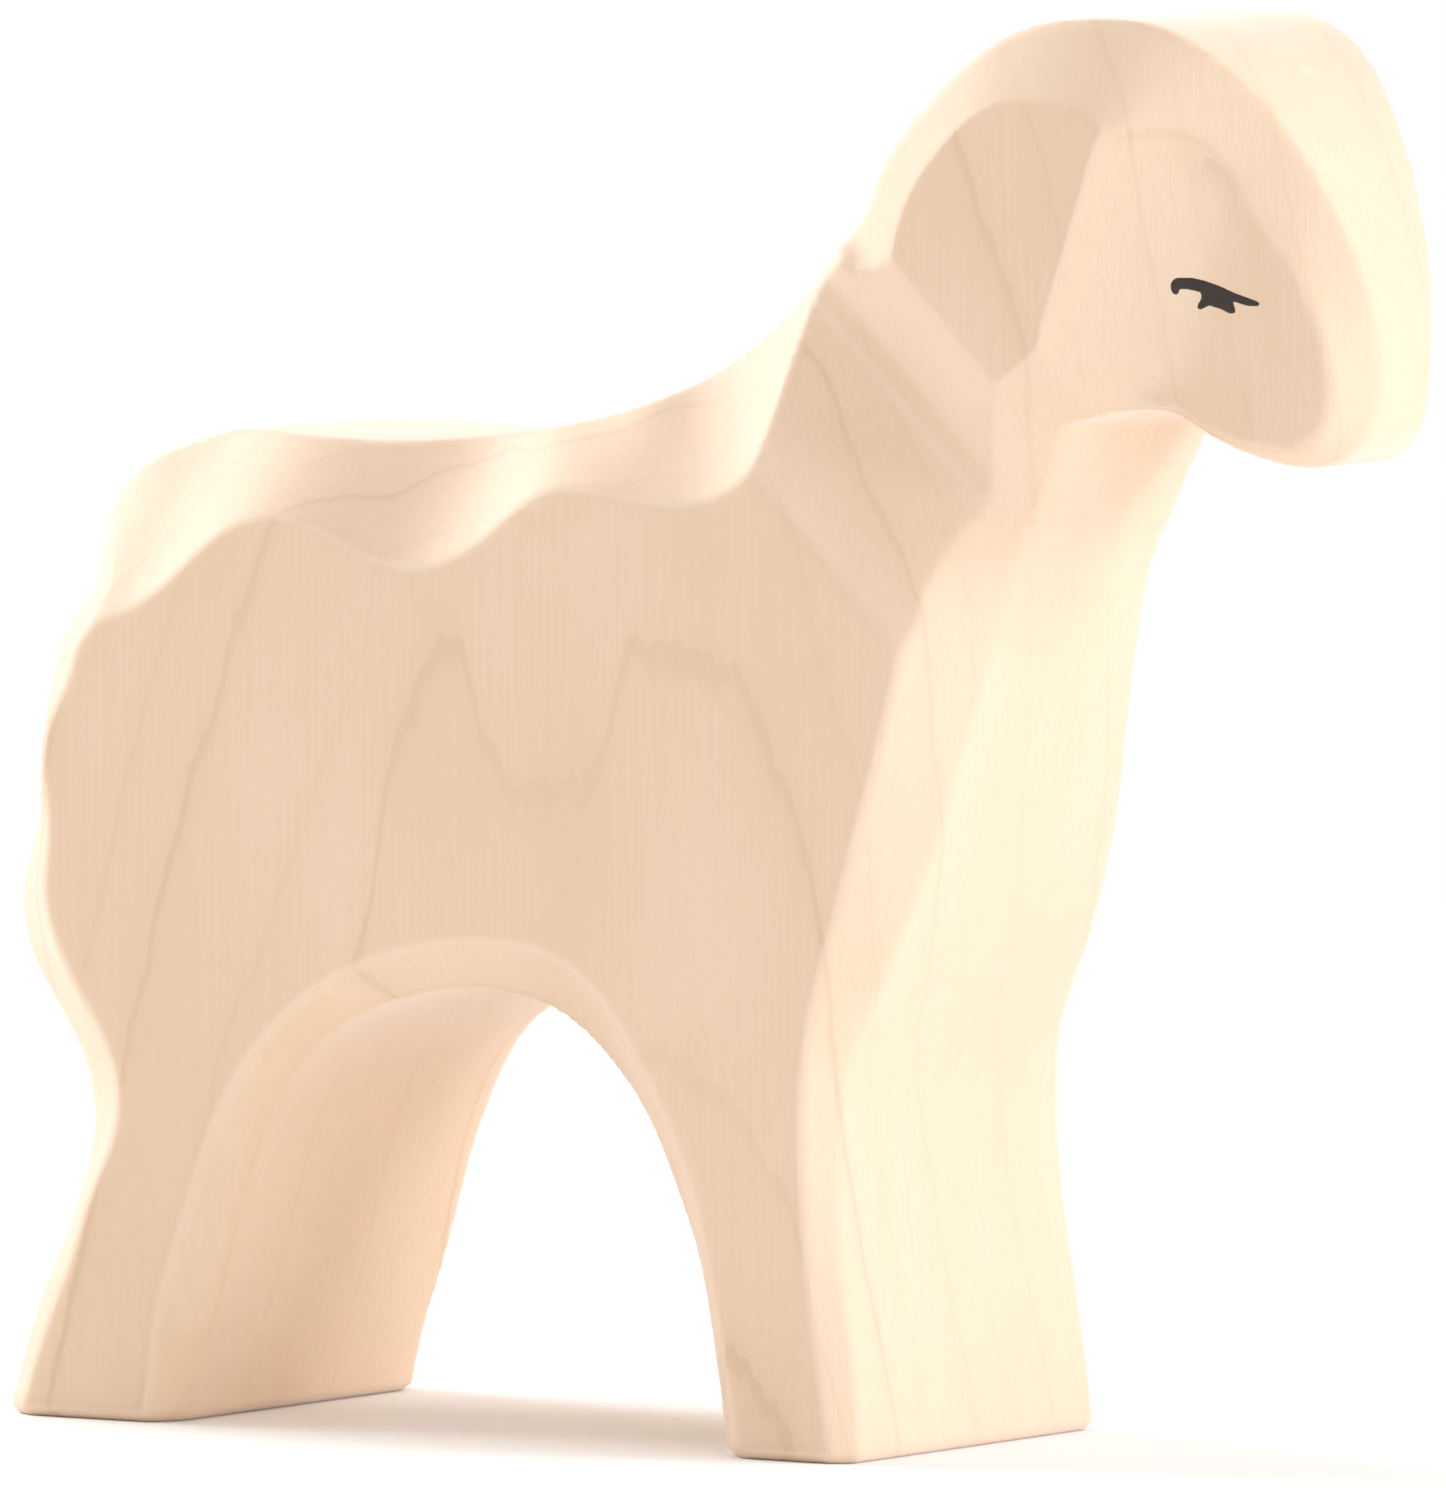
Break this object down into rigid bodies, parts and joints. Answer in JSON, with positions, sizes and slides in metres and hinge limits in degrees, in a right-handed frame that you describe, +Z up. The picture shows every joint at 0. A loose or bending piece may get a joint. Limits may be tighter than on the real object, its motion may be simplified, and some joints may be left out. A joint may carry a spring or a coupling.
{
  "type": "sheep figurine",
  "caption": "Free-standing carved wooden sheep with bevelled edges, a hollowed neck and face, an arch between its legs and small painted eyes.",
  "frame": {"origin": "middle of the figure's bounding box at the level of its soles", "axes": "+X towards the nose, +Z up, the sheep's right side at -Y"},
  "size_m": [0.0962, 0.03, 0.09],
  "materials": {
    "maple": "pale maple, sanded smooth and oiled",
    "eye_paint": "dark brown paint, brushed on, satin"
  },
  "bodies": {
    "root": {"carved_body": "maple", "right_eye": "eye_paint", "left_eye": "eye_paint"}
  },
  "joints": []
}
